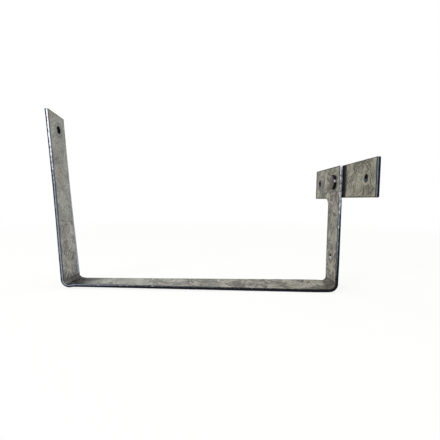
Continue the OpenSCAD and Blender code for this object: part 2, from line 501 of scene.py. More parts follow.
@dataclass
class Blank:
    """A flat blank with rounded edges, before it is folded. Sizes are in millimetres.

    Its outline runs anticlockwise, seen from its top, where the thickness coordinate is
    highest. The share of each edge's wall that is painted dark, the sheared steel's fracture
    together with painted shade, the painted highlight on the edges, the spangle's contrast and
    the twist in degrees are given at places along x, and lie straight between them. A corner
    shade is painted shade: the x where it is darkest, the x where it has faded and its strength.
    The end darkening is one in y. The reflection band, at y from one x to another, is zinc
    rolled over as wide as the roll-over says at its two ends, painted in the edges' cool colour
    as a painted reflection, and has no painted shade line.
    """

    corners: list[Corner]
    holes: list[Hole]
    thickness: float
    level: float
    step: float = 1.1
    face_step: float = 3.0
    fine_zones: list[tuple[float, float]] = field(default_factory=list)
    fine_step: float = 0.45
    rim_rounding: float = 0.15
    show_top: bool = True
    torn_and_shaded: list[tuple[float, float]] = field(default_factory=lambda: [(0.0, 0.5)])
    twist: list[tuple[float, float]] = field(default_factory=lambda: [(0.0, 0.0)])
    painted_highlight: list[tuple[float, float]] = field(default_factory=lambda: [(0.0, 0.1)])
    contrast: list[tuple[float, float]] = field(default_factory=lambda: [(0.0, 1.0)])
    corner_shades: list[tuple[float, float, float]] = field(default_factory=list)
    end_darkening: tuple[float, float, float] | None = None
    reflection_band: tuple[float, float, float] | None = None
    roll_over: tuple[float, float] = (1.4, 4.0)
    # painted shade along the rings where a face turns into its rounded edge
    edge_shade: float = 0.9
    seed: int = 7

    UV_NAME = "Unrolled"
    RIM = "rim"  # 0 on the faces, 1 on the edges' walls
    DEPTH = "depth"  # 1 on the face that shows, -1 on the other one
    # dust in the washer marks, and painted shade in folds, bores, corners and along edges
    GRIME_AND_SHADE = "grime_and_shade"
    # the share of an edge's wall painted dark: fracture, and painted shade
    TORN_AND_SHADED = "torn_and_shaded"
    TWIST = "twist"
    # the share of painted highlight on the edges' beads
    PAINTED_HIGHLIGHT = "painted_highlight"
    CONTRAST = "contrast"
    # strength of the painted shade line round each edge
    FOOT_SHADE = "foot"
    EDGE_LINE = 1.0  # how far in from the outline a row of points lies
    FACE_DEPTH = 0.75  # deeper than this lies on the face that shows
    CORNER_SHADE_FALL = 1.4  # above 1, a corner shade stays dark for a while before it fades
    CORNER_SHADE_RISE = 2.5  # how far from its start a corner shade reaches its strength
    BACK_CONTRAST = 0.6  # the spangle's contrast on the side that doesn't show
    FOOT_SHADE_LINE = 1.3  # how dark the painted shade line at the foot of the zinc runs is
    # the reflection band: zinc rolled over an edge, painted light and cool as a painted reflection
    REFLECTION_BAND_HIGHLIGHT = 0.22
    REFLECTION_BAND_RIM = 0.75
    REFLECTION_BAND_FROM = 0.3  # of the thickness, above its middle
    # painted shade in the folds
    FOLD_SHADE = 0.4
    FOLD_REACH = 2.0  # how far the painted shade of a fold goes beyond it
    # painted shade in the bores
    BORE_SHADE = 1.2
    MARKED_BORE_SHADE = 2.5
    RING_GRIME = 0.8
    RING_WIDTH = 0.8
    DUST_GRIME = 0.7
    DUST_REACH = 2.5  # how far from a marked hole its dust goes
    ALL_DARK = 1.2  # a dark share that paints the whole wall dark and leaves no zinc
    SHADE = 0.8  # the dark share of a bore's wall square to the side that lies dark, painted as shade
    SHADE_RISE = 3.0  # how fast that share grows towards it
    BACK_SHIFT = (0.0, 0.4)  # moves the back's spangle off the front's, in metres
    ARC_STEPS = 5  # from a face to the wall of a rounded edge
    CHORD = 0.5  # the longest on a rounded corner
    CHORD_TURN = 0.25  # the widest angle of one, in radians
    CLEAR = 0.2  # between a rounded corner and the next cross line
    BLEND = 6.0  # the length in which an edge's rounding changes beside a corner
    OUTER_RINGS = (0, 1, 2, 3, 10, 11, 12, 13)  # the outline's rings beside its two faces
    HOLE_SIDES = 48
    JITTER = 0.35  # of the step between the inner points
    INNER_GAP = 1.5  # between the outline's ends and the first inner points
    HOLE_GAP = 1.2  # between a hole and the inner points
    ZONE_GAP = 0.8  # between a fold and the inner points
    FOLD_GAP = 0.3  # between a fold and the row of points beside the outline
    MARK_GAP = 2.2  # between a washer mark and the inner points
    REFLECTION_BAND_GAP = 1.0  # between the reflection band and that row, and half that of the inner points
    REFLECTION_BAND_ROWS = (-0.1, 0.8)  # how far in from the reflection band's foot its rows of points lie
    REFLECTION_BAND_STEP = 2.0
    RING_STEP = 0.8  # between the rings of points round a hole with a washer mark
    RING_POINTS = 6  # on a ring, for each millimetre of its radius
    GUARD = 0.12  # a ring of points this far in keeps the rounded edge's shading even
    HOLE_EDGE = 0.6  # how far round a hole its rim reaches
    FLAT_AREA = 1e-7  # twice the area under which a triangle counts as flat
    TINY = 1e-6

    def _stations(self) -> np.ndarray:
        """Places the cross lines: close together in folds, wider between them.

        Returns:
            The lines' x coordinates, sorted.
        """
        low = min(c.x for c in self.corners)
        high = max(c.x for c in self.corners)
        ends = sorted({low, high, *(z for zone in self.fine_zones for z in zone)})
        places = []
        for a, b in zip(ends, ends[1:]):
            fine = any(lo <= (a + b) / 2 <= hi for lo, hi in self.fine_zones)
            count = max(1, round((b - a) / (self.fine_step if fine else self.step)))
            places.append(np.linspace(a, b, count + 1)[:-1])
        return np.concatenate([*places, [high]])

    def _outline(self) -> tuple[np.ndarray, np.ndarray, np.ndarray]:
        """Walks round the outline with its corners rounded.

        Returns:
            Points, outward normals and the edge's rounding at each point.
        """
        points, roundings = [], []
        count = len(self.corners)
        arcs = [
            self._corner_arc(self.corners[i - 1], self.corners[i], self.corners[(i + 1) % count])
            for i in range(count)
        ]
        stations = self._stations()
        for i, arc in enumerate(arcs):
            here, after = self.corners[i], self.corners[(i + 1) % count]
            points.extend(arc)
            roundings.extend([here.edge] * len(arc))
            start, end = arc[-1], arcs[(i + 1) % count][0]
            span = end - start
            length = float(np.linalg.norm(span))
            if abs(span[1]) < self.TINY:
                lo, hi = sorted((start[0], end[0]))
                inner = stations[(stations > lo + self.CLEAR) & (stations < hi - self.CLEAR)]
                shares = np.sort((inner - start[0]) / span[0])
            else:
                parts = max(1, round(length / self.step))
                shares = np.linspace(0, 1, parts + 1)[1:-1]
            for share in shares:
                points.append(start + span * share)
                gone, left = share * length, (1 - share) * length
                blend = min(1.0, gone / self.BLEND), min(1.0, left / self.BLEND)
                middle = max(here.edge, after.edge)
                a = here.edge + (middle - here.edge) * blend[0]
                b = after.edge + (middle - after.edge) * blend[1]
                roundings.append(min(a, b))
        loop = np.array(points)
        return loop, self._normals(loop), np.array(roundings)

    @staticmethod
    def _corner_arc(before: Corner, here: Corner, after: Corner) -> list[np.ndarray]:
        """Rounds one corner, which may be hollow.

        Args:
            before: The corner before it.
            here: The corner.
            after: The corner after it.

        Returns:
            The arc's points in order.
        """
        p = np.array([here.x, here.y])
        a = np.array([before.x, before.y]) - p
        b = np.array([after.x, after.y]) - p
        a /= np.linalg.norm(a)
        b /= np.linalg.norm(b)
        half = math.acos(float(np.clip(a @ b, -1, 1))) / 2
        back = here.radius / math.tan(half)
        middle = (a + b) / np.linalg.norm(a + b)
        centre = p + middle * here.radius / math.sin(half)
        start, end = p + a * back - centre, p + b * back - centre
        turn = math.atan2(start[0] * end[1] - start[1] * end[0], float(start @ end))
        by_length = math.ceil(abs(turn) * here.radius / Blank.CHORD)
        steps = max(4, by_length, math.ceil(abs(turn) / Blank.CHORD_TURN))
        arc = []
        for share in np.linspace(0, 1, steps + 1):
            c, s = math.cos(turn * share), math.sin(turn * share)
            arc.append(centre + np.array([c * start[0] - s * start[1], s * start[0] + c * start[1]]))
        return arc

    @staticmethod
    def _normals(loop: np.ndarray) -> np.ndarray:
        """Gives each point of an anticlockwise loop its outward normal.

        Args:
            loop: The loop's points.

        Returns:
            Normals, lengthened where the loop turns so that an inset stays parallel.
        """
        along = np.roll(loop, -1, axis=0) - loop
        along /= np.linalg.norm(along, axis=1)[:, None]
        out = np.stack([along[:, 1], -along[:, 0]], axis=1)
        before = np.roll(out, 1, axis=0)
        return (out + before) / (1 + (out * before).sum(1))[:, None]

    def _hole_loop(self, hole: Hole) -> tuple[np.ndarray, np.ndarray]:
        """Walks round a hole clockwise, so that its normals point into the hole.

        Args:
            hole: The hole.

        Returns:
            Points and normals.
        """
        angles = -np.arange(self.HOLE_SIDES) * math.tau / self.HOLE_SIDES
        ring = np.stack([np.cos(angles), np.sin(angles)], axis=1)
        return hole.centre + ring * hole.radius, -ring

    def _profile(self, rounding: np.ndarray | float) -> list[tuple[np.ndarray | float, ...]]:
        """Runs down a rounded edge from the top face to the bottom face.

        Args:
            rounding: The edge's rounding, one number or one for each point.

        Returns:
            For each ring its inset, height above mid-thickness, rim value and unrolled length.
        """
        half = self.thickness / 2
        rings = [(rounding + self.GUARD, half + 0 * rounding, 0.0, -self.GUARD + 0 * rounding)]
        for k in range(self.ARC_STEPS + 1):
            a = math.pi / 2 * k / self.ARC_STEPS
            rings.append(
                (
                    rounding * (1 - math.sin(a)),
                    half - rounding * (1 - math.cos(a)),
                    math.sin(a),
                    rounding * a,
                )
            )
        wall = 2 * (half - rounding)
        rings.append((0 * rounding, 0 * rounding, 1.0, rounding * math.pi / 2 + wall / 2))
        total = rounding * math.pi + wall
        return rings + self._mirrored(rings[:-1], total)

    def _flared(self, hole: Hole) -> list[tuple[float, float, float, float]]:
        """Runs down a hole that flares to a cone on the side that doesn't show.

        Args:
            hole: The hole.

        Returns:
            Rings like those of a rounded edge; an inset here widens the hole.
        """
        half = self.thickness / 2
        grow = hole.flare_radius - hole.radius
        slope = math.hypot(grow, hole.flare_depth)
        straight = self.thickness - hole.flare_depth
        rings = [
            (self.GUARD, half, 0.0, -self.GUARD),
            (0.0, half, 0.6, 0.0),
            (0.0, half - straight, 1.0, straight),
            (-grow, -half, 0.6, straight + slope),
            (self.GUARD - grow, -half, 0.0, straight + slope + self.GUARD),
        ]
        return rings if self.show_top else self._mirrored(rings, straight + slope)

    @staticmethod
    def _mirrored(rings: list[tuple], total: float | np.ndarray) -> list[tuple]:
        """Turns the rings of an edge, whose whole unrolled length is given, upside down."""
        return [(i, -h, rim, total - u) for i, h, rim, u in reversed(rings)]

    def _loops(self) -> list[tuple[np.ndarray, np.ndarray, list]]:
        """Gathers the outline and the holes, each with its rings.

        Returns:
            For each loop its points, its outward normals and its rings.
        """
        loop, out, rounding = self._outline()
        found = [(loop, out, self._profile(rounding))]
        for hole in self.holes:
            ring, inward = self._hole_loop(hole)
            if hole.form is HoleForm.COUNTERSUNK:
                found.append((ring, inward, self._flared(hole)))
            else:
                way = 1 if self.show_top else -1
                rings = [
                    (i + hole.taper * (0.5 - way * h / self.thickness), h, rim, u)
                    for i, h, rim, u in self._profile(self.rim_rounding)
                ]
                found.append((ring, inward, rings))
        return found

    def _cover(
        self, loops: tuple[np.ndarray, ...], scatter: np.random.Generator
    ) -> tuple[np.ndarray, np.ndarray]:
        """Covers a face between its outer loop and its holes with triangles.

        Args:
            loops: The outer loop and the holes' loops.
            scatter: Where the jitter of the inner points comes from.

        Returns:
            The inner points that it adds, and triangles that index the loops' points first and
            then those.
        """
        outer = loops[0]
        low, high = outer.min(0), outer.max(0)
        xs = np.arange(low[0] + self.INNER_GAP, high[0], self.face_step)
        ys = np.arange(low[1] + self.INNER_GAP, high[1], self.face_step)
        grid = np.stack(np.meshgrid(xs, ys, indexing="ij"), axis=-1).reshape(-1, 2)
        grid = grid + scatter.uniform(-self.JITTER, self.JITTER, grid.shape) * self.face_step
        keep = self._inside(grid, outer)
        for loop in loops:
            gap = np.linalg.norm(grid[:, None] - loop[None], axis=2).min(1)
            keep &= gap > (self.EDGE_LINE + 1.0 if loop is outer else self.HOLE_GAP)
        for hole, loop in zip(self.holes, loops[1:]):
            keep &= hole.distances(grid) > np.linalg.norm(loop[0] - hole.centre) + 1.0
        for zone in self.fine_zones:
            before, after = zone[0] - self.ZONE_GAP, zone[1] + self.ZONE_GAP
            keep &= (grid[:, 0] < before) | (grid[:, 0] > after)
        grid = np.concatenate([self._mark_points(outer), grid[keep & self._unmarked(grid)]])
        points = np.concatenate([*loops, grid])
        edges, first = [], 0
        for loop in loops:
            count = len(loop)
            edges += [(first + i, first + (i + 1) % count) for i in range(count)]
            first += count
        edges += self._cross_lines(outer)
        places = [Vector(p) for p in points.tolist()]
        rim = [list(range(len(outer)))]
        made = delaunay_2d_cdt(places, edges, rim, 1, self.TINY, True)
        sources = [o[0] for o in made[3]]
        triangles = np.array([[sources[i] for i in f] for f in made[2]])
        first = len(outer)
        for loop in loops[1:]:
            on_rim = (triangles >= first) & (triangles < first + len(loop))
            triangles = triangles[~on_rim.all(1)]
            first += len(loop)
        return grid, self._sound(points, triangles, outer, edges[:first])

    def _sound(
        self, points: np.ndarray, triangles: np.ndarray, outer: np.ndarray, rims: list[tuple[int, int]]
    ) -> np.ndarray:
        """Drops the triangles outside the outline, and the flat ones that close no gap.

        Args:
            points: The points that the triangles index.
            triangles: The triangles.
            outer: The outline.
            rims: The sides of the outline and of the holes.

        Returns:
            The triangles that are kept.
        """
        corners = points[triangles]
        one, two = corners[:, 1] - corners[:, 0], corners[:, 2] - corners[:, 0]
        flat = np.abs(one[:, 0] * two[:, 1] - one[:, 1] * two[:, 0]) < self.FLAT_AREA
        kept = triangles[self._inside(corners.mean(1), outer) & ~flat].tolist()
        spare = triangles[flat].tolist()
        closed = {frozenset(rim) for rim in rims}
        while True:
            uses = Counter(side for triangle in kept for side in self._sides(triangle))
            lone = {side for side, count in uses.items() if count == 1} - closed
            needed = [t for t in spare if lone.intersection(self._sides(t))]
            if not needed:
                return np.array(kept)
            kept.append(needed[0])
            spare.remove(needed[0])

    @staticmethod
    def _sides(triangle: list[int]) -> list[frozenset[int]]:
        """Lists a triangle's sides as pairs of indices."""
        a, b, c = triangle
        return [frozenset((a, b)), frozenset((b, c)), frozenset((c, a))]

    def _mark_points(self, outer: np.ndarray) -> np.ndarray:
        """Puts points beside the outline and round each hole that has a washer mark.

        Args:
            outer: The outer loop.

        Returns:
            The points.
        """
        found = [np.zeros((0, 2))]
        for hole in self.holes:
            if not hole.washer_mark:
                continue
            for radius in np.arange(hole.radius + 1.4, hole.washer_mark + 1.6, self.RING_STEP):
                angles = np.linspace(0, math.tau, round(radius * self.RING_POINTS), endpoint=False)
                ring = radius * np.stack([np.cos(angles), np.sin(angles)], axis=1)
                found.append(hole.centre + ring)
        if self.reflection_band is not None:
            start, end, edge = self.reflection_band
            xs = np.arange(start + 1.2, end - 0.4, self.REFLECTION_BAND_STEP)
            for inset in self.REFLECTION_BAND_ROWS:
                found.append(np.column_stack([xs, edge - self._rolled(xs) - inset]))
        beside_edge = outer - self._normals(outer) * self.EDGE_LINE
        found.append(beside_edge[self._clear_of_zones(beside_edge)])
        points = np.concatenate(found)
        return points[self._inside(points, outer)]

    def _clear_of_zones(self, points: np.ndarray) -> np.ndarray:
        """Tells which points lie clear of the folds and of the reflection band.

        Args:
            points: The points.

        Returns:
            True for each point that is clear.
        """
        clear = self._clear_of_reflection_band(points, self.REFLECTION_BAND_GAP)
        for low, high in self.fine_zones:
            before, after = low - self.FOLD_GAP, high + self.FOLD_GAP
            clear &= (points[:, 0] < before) | (points[:, 0] > after)
        return clear

    def _clear_of_reflection_band(self, points: np.ndarray, margin: float) -> np.ndarray:
        """Tells which points lie clear of the reflection band.

        Args:
            points: The points.
            margin: How clear of it they must be.

        Returns:
            True for each point that is clear.
        """
        if self.reflection_band is None:
            return np.ones(len(points), bool)
        start, end, edge = self.reflection_band
        beside = (points[:, 0] > start - margin) & (points[:, 0] < end + margin)
        return ~(beside & (np.abs(points[:, 1] - edge) < max(self.roll_over) + margin))

    def _rolled(self, places: np.ndarray) -> np.ndarray:
        """Gives the reflection band's width at each place along it."""
        return np.interp(places, self.reflection_band[:2], self.roll_over)

    def _unmarked(self, points: np.ndarray) -> np.ndarray:
        """Tells which points lie clear of the reflection band and of every washer mark.

        Args:
            points: The points.

        Returns:
            True for each point that is clear.
        """
        clear = self._clear_of_reflection_band(points, 2 * self.REFLECTION_BAND_GAP)
        for hole in self.holes:
            reach = hole.washer_mark + self.MARK_GAP if hole.washer_mark else 0.0
            clear &= hole.distances(points) > reach
        return clear

    def _cross_lines(self, outer: np.ndarray) -> list[tuple[int, int]]:
        """Joins opposite points of the outline across each fold.

        Args:
            outer: The outline's points.

        Returns:
            Pairs of indices.
        """
        pairs = []
        for low, high in self.fine_zones:
            near = [i for i, p in enumerate(outer) if low - self.TINY <= p[0] <= high + self.TINY]
            by_place: dict[float, list[int]] = {}
            for i in near:
                by_place.setdefault(round(float(outer[i][0]), 4), []).append(i)
            pairs += [(ids[0], ids[1]) for ids in by_place.values() if len(ids) == 2]
        return pairs

    @staticmethod
    def _inside(points: np.ndarray, loop: np.ndarray) -> np.ndarray:
        """Tells which points lie inside a loop.

        Args:
            points: The points.
            loop: The loop.

        Returns:
            True for each point inside.
        """
        inside = np.zeros(len(points), bool)
        x, y = points[:, 0], points[:, 1]
        for a, b in zip(loop, np.roll(loop, -1, axis=0)):
            crosses = (a[1] > y) != (b[1] > y)
            if a[1] != b[1]:
                at = a[0] + (y - a[1]) * (b[0] - a[0]) / (b[1] - a[1])
                inside ^= crosses & (x < at)
        return inside

    def mesh(self, name: str) -> bpy.types.Mesh:
        """Builds the blank as one closed mesh, with its unrolled UV map and edge attributes.

        Args:
            name: The mesh's name.

        Returns:
            The mesh, flat, in metres.
        """
        scatter = np.random.default_rng(self.seed)
        verts, rims, unrolled, faces = [], [], [], []
        tops, lows = [], []
        count = 0
        for loop, out, rings in self._loops():
            ids = []
            for inset, height, rim, length in rings:
                flat = loop - out * np.reshape(inset, (-1, 1))
                tall = np.broadcast_to(height, len(loop))
                reach = np.reshape(np.broadcast_to(length, len(loop)), (-1, 1))
                verts.append(np.column_stack([flat, tall]))
                rims.append(np.full(len(loop), rim))
                base = loop - out * np.reshape(rings[1][0], (-1, 1))
                unrolled.append(base + out * reach)
                ids.append(np.arange(count, count + len(loop)))
                count += len(loop)
            for a, b in zip(ids, ids[1:]):
                after_a, after_b = np.roll(a, -1), np.roll(b, -1)
                faces += np.column_stack([a, b, after_b, after_a]).tolist()
            tops.append((verts[-len(rings)][:, :2], ids[0]))
            lows.append((verts[-1][:, :2], ids[-1]))
        for side, face in ((1, tops), (-1, lows)):
            loops, ids = zip(*face)
            added, triangles = self._cover(loops, scatter)
            table = np.concatenate([*ids, np.arange(count, count + len(added))])
            height = np.full(len(added), side * self.thickness / 2)
            verts.append(np.column_stack([added, height]))
            rims.append(np.zeros(len(added)))
            unrolled.append(added)
            count += len(added)
            area = self._signed_areas(np.concatenate([*loops, added]), triangles)
            turned = np.where((area * side > 0)[:, None], triangles, triangles[:, ::-1])
            faces += table[turned].tolist()
        return self._finish(name, verts, rims, unrolled, faces)

    @staticmethod
    def _signed_areas(points: np.ndarray, triangles: np.ndarray) -> np.ndarray:
        """Gives twice each triangle's area, positive where it runs anticlockwise.

        Args:
            points: The flat points.
            triangles: Indices of their corners.

        Returns:
            The areas.
        """
        a, b, c = (points[triangles[:, k]] for k in range(3))
        ab, ac = b - a, c - a
        return ab[:, 0] * ac[:, 1] - ab[:, 1] * ac[:, 0]

    def _finish(
        self, name: str, verts: list, rims: list, unrolled: list, faces: list
    ) -> bpy.types.Mesh:
        """Turns the gathered arrays to a mesh.

        Args:
            name: The mesh's name.
            verts: Blocks of points: x, y and height above mid-thickness.
            rims: Blocks of rim values.
            unrolled: Blocks of unrolled places.
            faces: Faces as lists of indices.

        Returns:
            The mesh in metres.
        """
        points = np.concatenate(verts)
        places = np.concatenate(unrolled) * MM
        depth = points[:, 2] / (self.thickness / 2) * (1 if self.show_top else -1)
        solid = (points + np.array([0, 0, self.level])) * MM
        made = bpy.data.meshes.new(name)
        made.from_pydata(solid.tolist(), [], faces)
        turn = np.radians(np.interp(points[:, 0], *zip(*self.twist)))
        rim = np.concatenate(rims)
        milder = np.where(depth < 0, self.BACK_CONTRAST, 1.0)
        # the reflection band takes the edges' cool colour as a painted reflection, with no painted
        # shade line
        reflection_band = self._on_reflection_band(points)
        rim[reflection_band] = np.maximum(rim[reflection_band], self.REFLECTION_BAND_RIM)
        # painted shade along the rings where each face turns into its rounded edge
        edge_shade_line = np.zeros(len(points))
        count = len(verts[0])
        for block in self.OUTER_RINGS:
            edge_shade_line[block * count : (block + 1) * count] = self.edge_shade
        edge_shade_line[reflection_band] = 0.0
        values = {
            self.RIM: rim,
            self.DEPTH: depth,
            self.GRIME_AND_SHADE: np.maximum(self._grime_and_shade(points, depth), edge_shade_line),
            self.TORN_AND_SHADED: self._torn_and_shaded(points),
            self.TWIST: turn,
            self.PAINTED_HIGHLIGHT: self._painted_highlight(points),
            self.CONTRAST: np.interp(points[:, 0], *zip(*self.contrast)) * milder,
            self.FOOT_SHADE: np.where(reflection_band, 0.0, self.FOOT_SHADE_LINE),
        }
        store(made, values)
        corners = corner_points(made)
        below = (points[:, 2] < self.TINY - self.thickness / 2)[corners]
        uv = places[corners]
        starts = np.zeros(len(made.polygons), np.int32)
        made.polygons.foreach_get("loop_start", starts)
        sizes = np.zeros(len(made.polygons), np.int32)
        made.polygons.foreach_get("loop_total", sizes)
        under = np.logical_and.reduceat(below, starts)
        uv[np.repeat(under, sizes)] += self.BACK_SHIFT
        unroll(made, uv)
        if made.validate(verbose=False):
            LOG.warning("%s had faces that were not valid", name)
        return made

    def _grime_and_shade(self, points: np.ndarray, depth: np.ndarray) -> np.ndarray:
        """Paints shade in the folds, the corner shades and the bores, darkens towards the end, and
        lays dust in the washer marks.

        Args:
            points: The points, flat.
            depth: Their depth, 1 on the face that shows.

        Returns:
            The dust and painted shade at each point.
        """
        found = np.zeros(len(points))
        # painted shade: the inside of each fold darkens on the face that shows
        for low, high in self.fine_zones:
            middle, reach = (low + high) / 2, (high - low) / 2 + self.FOLD_REACH
            near = 1 - np.abs(points[:, 0] - middle) / reach
            found = np.maximum(found, self.FOLD_SHADE * np.clip(1.5 * near, 0, 1) * (depth > 0))
        # painted shade: inside the front fold, and on the plate beside the strap's edge
        for start, end, strength in self.corner_shades:
            way = 1 if end > start else -1
            gone = way * (points[:, 0] - start)
            fading = np.clip(self.CORNER_SHADE_FALL * (1 - gone / abs(end - start)), 0, 1)
            rising = np.clip(1 + gone / self.CORNER_SHADE_RISE, 0, 1)
            found = np.maximum(found, fading * rising * strength * (depth > self.FACE_DEPTH))
        # darker towards the blank's end in y
        if self.end_darkening is not None:
            start, end, strength = self.end_darkening
            near = 1 - (start - points[:, 1]) / (start - end)
            found = np.maximum(found, np.clip(near, 0, 1) * strength * (depth > 0))
        for hole in self.holes:
            radius = hole.distances(points)
            # painted shade: the bores darken, unless they take a painted highlight
            if not hole.painted_highlight:
                bore = self.MARKED_BORE_SHADE if hole.washer_mark else self.BORE_SHADE
                found[radius < hole.radius + 0.2] = bore
            if not hole.washer_mark:
                continue
            ring = np.exp(-(((radius - hole.washer_mark) / self.RING_WIDTH) ** 2))
            dusty = np.clip(1 - (radius - hole.radius) / self.DUST_REACH, 0, 1)
            marked = np.maximum(self.RING_GRIME * ring, self.DUST_GRIME * dusty)
            found = np.maximum(found, marked * (depth > 0))
        return found

    def _on_reflection_band(self, points: np.ndarray) -> np.ndarray:
        """Tells which points lie on the reflection band, on the side that shows.

        Args:
            points: The points, flat.

        Returns:
            True for each point on it.
        """
        if self.reflection_band is None:
            return np.zeros(len(points), bool)
        start, end, edge = self.reflection_band
        way = 1 if self.show_top else -1
        along = (points[:, 0] > start) & (points[:, 0] < end)
        along &= way * points[:, 2] > self.REFLECTION_BAND_FROM * self.thickness
        return along & (np.abs(points[:, 1] - edge) < self._rolled(points[:, 0]))

    def _painted_highlight(self, points: np.ndarray) -> np.ndarray:
        """Shares out the painted highlight on the zinc's beads.

        Args:
            points: The points, flat.

        Returns:
            The share at each point.
        """
        share = np.interp(points[:, 0], *zip(*self.painted_highlight))
        share[self._on_reflection_band(points)] = self.REFLECTION_BAND_HIGHLIGHT
        for hole in self.holes:
            share[hole.distances(points) < hole.widest + self.HOLE_EDGE] = hole.painted_highlight
        return share

    def _torn_and_shaded(self, points: np.ndarray) -> np.ndarray:
        """Shares out how much of each edge's wall is painted dark: the sheared steel's fracture, and
        painted shade on the edges and in the bores.

        Args:
            points: The points, flat.

        Returns:
            The share at each point.
        """
        share = np.interp(points[:, 0], *zip(*self.torn_and_shaded))
        # bores: painted shade on the side that lies the shaded way, or all round
        for hole in self.holes:
            gap = hole.distances(points)
            inside = gap < hole.widest + self.HOLE_EDGE
            way = np.array(hole.shaded)
            if not way.any():
                share[inside] = self.ALL_DARK
                continue
            side = (points[inside, :2] - hole.centre) @ way / gap[inside]
            share[inside] = np.clip(self.SHADE + self.SHADE_RISE * side, 0.0, self.ALL_DARK)
        return share


# ---------------------------------------------------------------- geometry nodes


@dataclass(frozen=True)
class Shop:
    """The Geometry Nodes tree that twists and folds a blank and coats it with zinc.

    The blank is first turned about its long middle line by its own twist. Each fold then turns
    the metal beyond its line about its own centre, as a folding press does. The zinc then lies a
    little uneven: low swells on the faces, and beads along the edges where it ran together as it
    drained.
    """

    name: str = "fold_and_coat"

    SIZES = (
        "Middle Line Y", "Middle Line Z", "Rear Fold X", "Front Fold X", "Fold Height",
        "Fold Radius", "Rear Turn", "Front Turn",
        "Bead Length", "Bead Height", "Swell Length", "Swell Height", "Seed",
    )
    NOISE_MIDDLE = 0.62  # the noise that leaves the surface where it is
    UNFOLDED = {"Rear Fold X": 1.0, "Front Fold X": -1.0, "Fold Radius": 1.0}  # no turn at either
    COAT = {"Bead Length": 3.2 * MM, "Swell Length": 9 * MM, "Swell Height": 0.12 * MM}

    def tree(self) -> bpy.types.NodeTree:
        """Builds the tree.

        Returns:
            The tree, with a named input for each size.
        """
        made = bpy.data.node_groups.new(self.name, "GeometryNodeTree")
        for name, way, kind in (
            ("Geometry", "INPUT", "NodeSocketGeometry"),
            *((size, "INPUT", "NodeSocketFloat") for size in self.SIZES),
            ("Finish", "INPUT", "NodeSocketMaterial"),
            ("Geometry", "OUTPUT", "NodeSocketGeometry"),
        ):
            made.interface.new_socket(name, in_out=way, socket_type=kind)
        add = partial(add_node, made)
        given = add("NodeGroupInput").outputs
        coated = self._coat(add, given, self._folds(add, given))
        real = add("GeometryNodeRealizeInstances", {"Geometry": coated})
        finished = {"Geometry": real, "Material": given["Finish"]}
        dressed = add("GeometryNodeSetMaterial", finished)
        add("NodeGroupOutput", {"Geometry": dressed})
        return made

    def _folds(self, add: Adder, given: bpy.types.NodeOutputs) -> bpy.types.Node:
        """Twists the blank, and folds both its ends up.

        Args:
            add: What adds nodes to the tree.
            given: The tree's inputs.

        Returns:
            The node of the folded geometry.
        """
        place = add("GeometryNodeInputPosition")
        along = add("ShaderNodeSeparateXYZ", {"Vector": place}).outputs["X"]
        beyond_rear = add("ShaderNodeMath", (along, given["Rear Fold X"]), operation="SUBTRACT")
        beyond_front = add("ShaderNodeMath", (given["Front Fold X"], along), operation="SUBTRACT")
        middle_line = add(
            "ShaderNodeCombineXYZ", {"Y": given["Middle Line Y"], "Z": given["Middle Line Z"]}
        )
        twist = add("GeometryNodeInputNamedAttribute", {"Name": Blank.TWIST}, data_type="FLOAT")
        moved = add(
            "ShaderNodeVectorRotate",
            {"Vector": place, "Center": middle_line, "Angle": twist},
            rotation_type="X_AXIS",
        )
        turns = []
        for beyond, limit, way in ((beyond_rear, "Rear Turn", -1.0), (beyond_front, "Front Turn", 1.0)):
            length = add("ShaderNodeMath", (given[limit], given["Fold Radius"]), operation="MULTIPLY")
            taken = add("ShaderNodeClamp", {"Value": beyond, "Min": 0.0, "Max": length})
            slide = add("ShaderNodeMath", (taken, way), operation="MULTIPLY")
            offset = add("ShaderNodeCombineXYZ", {"X": slide})
            moved = add("ShaderNodeVectorMath", (moved, offset), operation="ADD")
            turns.append(add("ShaderNodeMath", (slide, given["Fold Radius"]), operation="DIVIDE"))
        for line, turn in zip(("Rear Fold X", "Front Fold X"), turns):
            centre = add("ShaderNodeCombineXYZ", {"X": given[line], "Z": given["Fold Height"]})
            moved = add(
                "ShaderNodeVectorRotate",
                {"Vector": moved, "Center": centre, "Angle": turn},
                rotation_type="Y_AXIS",
            )
        return add("GeometryNodeSetPosition", {"Geometry": given["Geometry"], "Position": moved})

    def _coat(
        self, add: Adder, given: bpy.types.NodeOutputs, geometry: bpy.types.Node
    ) -> bpy.types.Node:
        """Moves the surface along its normals by the zinc's unevenness.

        Args:
            add: What adds nodes to the tree.
            given: The tree's inputs.
            geometry: The folded geometry.

        Returns:
            The node of the coated geometry.
        """
        place = add("GeometryNodeInputPosition")
        rim = add("GeometryNodeInputNamedAttribute", {"Name": Blank.RIM}, data_type="FLOAT")
        heights = []
        for length, height in (("Bead Length", "Bead Height"), ("Swell Length", "Swell Height")):
            scale = add("ShaderNodeMath", (1.0, given[length]), operation="DIVIDE")
            noise = add(
                "ShaderNodeTexNoise",
                {"Vector": place, "W": given["Seed"], "Scale": scale, "Detail": 1.0},
                noise_dimensions="4D",
            )
            centred = add("ShaderNodeMath", (noise, self.NOISE_MIDDLE), operation="SUBTRACT")
            heights.append(add("ShaderNodeMath", (centred, given[height]), operation="MULTIPLY"))
        beads = add("ShaderNodeMath", (heights[0], rim, heights[1]), operation="MULTIPLY_ADD")
        normal = add("GeometryNodeInputNormal")
        lift = add("ShaderNodeVectorMath", {0: normal, "Scale": beads}, operation="SCALE")
        return add("GeometryNodeSetPosition", {"Geometry": geometry, "Offset": lift})

